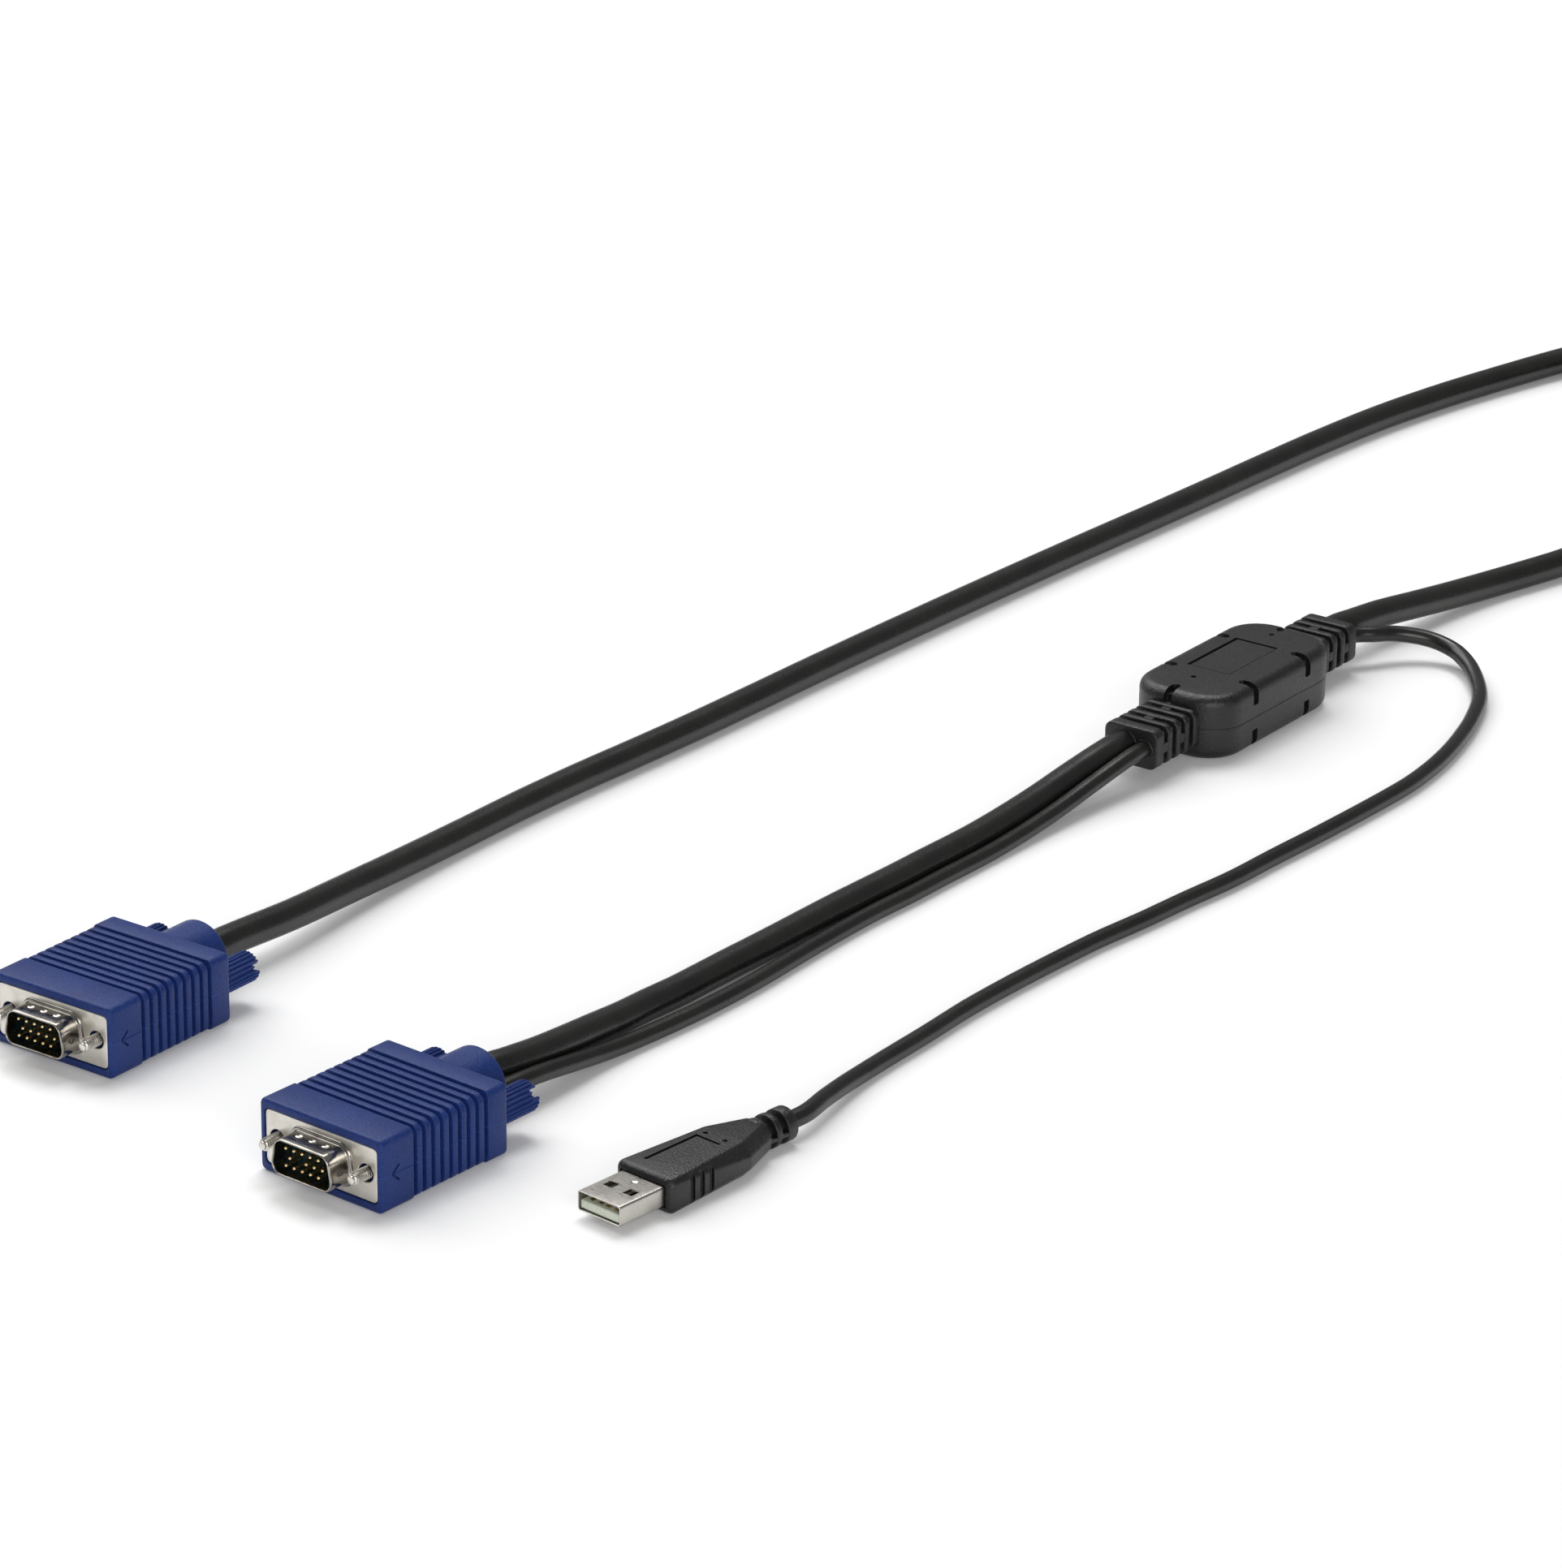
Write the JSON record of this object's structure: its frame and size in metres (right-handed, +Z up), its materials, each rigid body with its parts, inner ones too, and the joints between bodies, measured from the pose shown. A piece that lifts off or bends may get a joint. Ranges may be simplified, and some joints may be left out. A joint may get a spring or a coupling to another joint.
{
  "type": "kvm cable",
  "caption": "Keyboard, video and mouse cable: blue D-shaped video plugs with thumbscrews, a converter block, a small data plug, and spare cable coiled in a tie.",
  "frame": {"origin": "On the surface that the cable lies on, under the middle of the converter block.", "axes": "+Z is up. -Y is the way the plugs mate, straight for the server plug. +X is to the data plug's side."},
  "size_m": [0.1773, 0.7054, 0.0166],
  "materials": {
    "blue_hood": "satin moulded blue",
    "black_mould": "fine spark texture",
    "black_cable": "smooth satin jacket",
    "nickel": "nickel plate on drawn steel",
    "gold": "gold plate",
    "dark_insulator": "moulded, matte",
    "clear_mould": "milky first moulding",
    "pale_tongue": "moulded",
    "green_board": "lacquered board",
    "black_chip": "moulded",
    "tie_plastic": "smooth flat strip"
  },
  "bodies": {
    "cable": {"console_hood": "blue_hood", "console_front_shell": "nickel", "console_insulator": "dark_insulator", "console_inner_mould": "clear_mould", "console_pin_01": "gold", "console_pin_02": "gold", "console_pin_03": "gold", "console_pin_04": "gold", "console_pin_05": "gold", "console_pin_06": "gold", "console_pin_07": "gold", "console_pin_08": "gold", "console_pin_09": "gold", "console_pin_10": "gold", "console_pin_11": "gold", "console_pin_12": "gold", "console_pin_13": "gold", "console_pin_14": "gold", "console_pin_15": "gold", "server_hood": "blue_hood", "server_front_shell": "nickel", "server_insulator": "dark_insulator", "server_inner_mould": "clear_mould", "server_pin_01": "gold", "server_pin_02": "gold", "server_pin_03": "gold", "server_pin_04": "gold", "server_pin_05": "gold", "server_pin_06": "gold", "server_pin_07": "gold", "server_pin_08": "gold", "server_pin_10": "gold", "server_pin_11": "gold", "server_pin_12": "gold", "server_pin_13": "gold", "server_pin_14": "gold", "server_pin_15": "gold", "data_body": "black_mould", "data_shell": "nickel", "data_tongue": "pale_tongue", "converter_housing": "black_mould", "circuit_board": "green_board", "controller_chip": "black_chip", "console_cable": "black_cable", "cable_coil": "black_cable", "coil_tie": "tie_plastic", "converter_cable": "black_cable", "video_pigtail": "black_cable", "data_pigtail": "black_cable", "data_lead": "black_cable"},
    "console_left_thumbscrew": {"console_left_grip": "blue_hood", "console_left_screw": "nickel"},
    "console_right_thumbscrew": {"console_right_grip": "blue_hood", "console_right_screw": "nickel"},
    "server_left_thumbscrew": {"server_left_grip": "blue_hood", "server_left_screw": "nickel"},
    "server_right_thumbscrew": {"server_right_grip": "blue_hood", "server_right_screw": "nickel"}
  },
  "joints": [
    {"name": "console_left_thumbscrew_turn", "type": "hinge", "parent": "cable", "child": "console_left_thumbscrew", "pos_m": [-0.09123, -0.28449, 0.0083], "axis": [0.0576, -0.9983, 0], "continuous": true},
    {"name": "console_right_thumbscrew_turn", "type": "hinge", "parent": "cable", "child": "console_right_thumbscrew", "pos_m": [-0.06628, -0.28305, 0.0083], "axis": [0.0576, -0.9983, 0], "continuous": true},
    {"name": "server_left_thumbscrew_turn", "type": "hinge", "parent": "cable", "child": "server_left_thumbscrew", "pos_m": [-0.0006, -0.2931, 0.0083], "axis": [0, -1, 0], "continuous": true},
    {"name": "server_right_thumbscrew_turn", "type": "hinge", "parent": "cable", "child": "server_right_thumbscrew", "pos_m": [0.0244, -0.2931, 0.0083], "axis": [0, -1, 0], "continuous": true}
  ]
}
